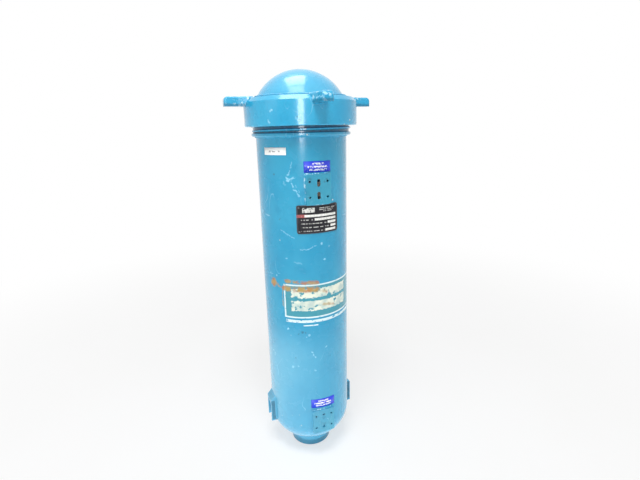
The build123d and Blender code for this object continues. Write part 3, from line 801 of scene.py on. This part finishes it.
# --- Filter bag -------------------------------------------------------------
# A sleeve of off-white needle felt with a sewn side seam and a rounded end,
# hung in the basket from a stiff plastic ring in its mouth.
ring_plastic = Finish("bag ring plastic", Specular_IOR_Level=0.45)
scuffed = ring_plastic.fade(ring_plastic.noise(90, 4), 0.4, 0.7)
ring_plastic.paint(Base_Color=ring_plastic.blend(scuffed, tint(232, 230, 218),
                                                 tint(206, 203, 190)),
                   Roughness=ring_plastic.fade(scuffed, 0.0, 1.0, 0.35, 0.55),
                   Normal=ring_plastic.bump(ring_plastic.noise(700, 2), 0.03 * MM))
dress(ring_plastic, "bag_ring")

FELT_THICKNESS = 2.3 * MM
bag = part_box("filter_bag")
bag_r = bag[1].x - 0.2 * MM
felt = Finish("needle felt", Specular_IOR_Level=0.2, Sheen_Weight=0.35, Sheen_Roughness=0.6)
fibres = felt.noise(1500, 4)
nap = felt.noise(260, 4)
soil = felt.fade(felt.noise(16, 3), 0.45, 0.75)
wool = felt.blend(felt.fade(nap, 0.35, 0.65), tint(238, 236, 228), tint(222, 218, 206))
wool = felt.blend(soil * 0.3, wool, tint(204, 196, 176))
felt.paint(Base_Color=wool, Roughness=felt.fade(nap, 0.3, 0.7, 0.85, 0.97),
           Normal=felt.bump(fibres * 0.7 + nap, 0.5 * MM))

bm = bmesh.new()
corner = 24 * MM
bottom = bag[0].z + 0.3 * MM
mouth = bag[1].z
profile = [(bag_r, mouth - (mouth - bottom - corner) * step / 60) for step in range(61)]
profile += [(bag_r - corner + corner * math.cos(math.radians(9 * step)),
             bottom + corner - corner * math.sin(math.radians(9 * step)))
            for step in range(1, 11)]
profile += [((bag_r - corner) * (1 - step / 6), bottom) for step in range(1, 6)]
profile += [(0, bottom)]
chain = [bm.verts.new((radius, 0, level)) for radius, level in profile]
links = [bm.edges.new(pair) for pair in zip(chain, chain[1:])]
bmesh.ops.spin(bm, geom=[*chain, *links], cent=(0, 0, 0), axis=(0, 0, 1), angle=2 * math.pi,
               steps=120, use_merge=True)
bmesh.ops.remove_doubles(bm, verts=bm.verts, dist=0.01 * MM)
for vertex in bm.verts:
    angle = math.atan2(vertex.co.y, vertex.co.x)
    reach = math.hypot(vertex.co.x, vertex.co.y)
    if reach < 1 * MM:
        continue
    depth = min(1.0, max(0.0, (mouth - vertex.co.z) / (60 * MM)))
    fold = (math.sin(5 * angle + 9 * vertex.co.z) + math.sin(8 * angle - 14 * vertex.co.z + 1)
            + 0.7 * math.sin(13 * angle + 6 * vertex.co.z + 2))
    seam = math.exp(-((angle - 0.6) * bag_r / (4 * MM)) ** 2)
    inward = depth * (0.75 * (fold + 2.7) * 0.5) + 1.0 * seam * min(1.0, reach / bag_r)
    scale = 1 - inward * MM / bag_r
    vertex.co.x *= scale
    vertex.co.y *= scale
bmesh.ops.recalc_face_normals(bm, faces=bm.faces)
felt_bag = shaped("felt_bag", bm, felt, "bag")
wall = felt_bag.modifiers.new("wall", "SOLIDIFY")
wall.thickness = FELT_THICKNESS
wall.offset = -1
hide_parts("filter_bag")


# --- Room, lamps and camera -------------------------------------------------
# The housing stands on a plain pale floor in soft light, with one tall lamp
# behind the camera that draws the upright streak on ring, dome and shell.
floor = Finish("floor", Specular_IOR_Level=0.1, Roughness=0.8)
floor.paint(Base_Color=floor.blend(floor.fade(floor.noise(3, 2), 0.3, 0.7),
                                   tint(244, 244, 243), tint(247, 247, 247)))
away = floor.node("VectorMath", {"operation": "LENGTH"}, {0: floor.place}, "Value")
glow = floor.node("Emission", {}, {"Color": (1, 1, 1, 1), "Strength": 1.0})
mixed = floor.node("MixShader", {}, {0: floor.seen() * floor.fade(away, 0.3, 1.8, 0.62, 1.0),
                                     1: Wire(floor, floor.shader.outputs[0]), 2: glow})
floor.feed(floor.tree.nodes["Material Output"].inputs["Surface"], mixed)
bm = bmesh.new()
bmesh.ops.create_circle(bm, cap_ends=True, segments=96, radius=9)
ground = bpy.data.meshes.new("floor")
bm.to_mesh(ground)
bm.free()
ground.materials.append(floor.material)
floor_disc = bpy.data.objects.new("floor", ground)
floor_disc.location.z = cad_box[0].z - 0.2 * MM
bpy.context.scene.collection.objects.link(floor_disc)

ROOM_LIGHT = 0.42
ROOM_WHITE = 1.0
world = bpy.data.worlds.new("room")
bpy.context.scene.world = world
world.use_nodes = True
backdrop = world.node_tree.nodes["Background"]
backdrop.inputs["Color"].default_value = (1, 1, 1, 1)
room = Shading(world.node_tree)
room.feed(backdrop.inputs["Strength"],
          room.node("MapRange", {}, {"Value": room.seen(), "To Min": ROOM_LIGHT,
                                     "To Max": ROOM_WHITE}))


def lamp(name, place, aim, width, height, power, only=None, turn=0.0):
    """A rectangular soft lamp turned towards a point, out of the camera's sight."""
    light = bpy.data.lights.new(name, "AREA")
    light.shape = "RECTANGLE"
    light.size, light.size_y, light.energy = width, height, power
    hung = bpy.data.objects.new(name, light)
    hung.location = place
    facing = (Vector(aim) - Vector(place)).to_track_quat("-Z", "Y")
    hung.rotation_euler = (facing @ Quaternion((0, 0, 1), math.radians(turn))).to_euler()
    hung.visible_camera = False
    hung.visible_diffuse = only != "glossy"
    hung.visible_glossy = only != "diffuse"
    bpy.context.scene.collection.objects.link(hung)


lamp("streak lamp", (-0.66, -2.1, 1.6), (0, 0, 1.6), 0.44, 2.0, 44, only="glossy")
lamp("front strip", (-0.42, -0.62, 2.5), (-0.42, -0.62, 0), 0.9, 0.8, 13, only="glossy", turn=-18)
lamp("rear strip", (-0.1, 0.33, 2.5), (-0.1, 0.33, 0), 0.9, 1.0, 21, only="glossy", turn=-18)
lamp("ceiling lamp", (-0.3, -0.7, 2.3), (0, 0, 0.3), 0.8, 0.6, 35, only="diffuse")
lamp("side lamp", (-2.4, -0.6, 1.4), (0, 0, 0.4), 1.2, 1.2, 6)
lamp("bounce lamp", (-0.1, -0.45, 0.012), (-0.1, -0.45, 1), 2.2, 1.9, 13, only="diffuse")

position = Vector((-0.2373, -0.7177, 0.6714))
ahead = Vector((0.3393, 0.9013, -0.2695)).normalized()
level_right = ahead.cross(Vector((0, 0, 1))).normalized()
level_up = level_right.cross(ahead)
ROLL = -0.022
right = math.cos(ROLL) * level_right + math.sin(ROLL) * level_up
up = right.cross(ahead)
lens = bpy.data.cameras.new("camera")
lens.sensor_width, lens.lens = 36, 21.94
lens.clip_start, lens.clip_end = 0.02, 40
camera = bpy.data.objects.new("camera", lens)
facing = Matrix((right, up, -ahead)).transposed().to_4x4()
camera.matrix_world = Matrix.Translation(position) @ facing
bpy.context.scene.collection.objects.link(camera)
bpy.context.scene.camera = camera
bpy.context.scene.view_settings.view_transform = "Standard"
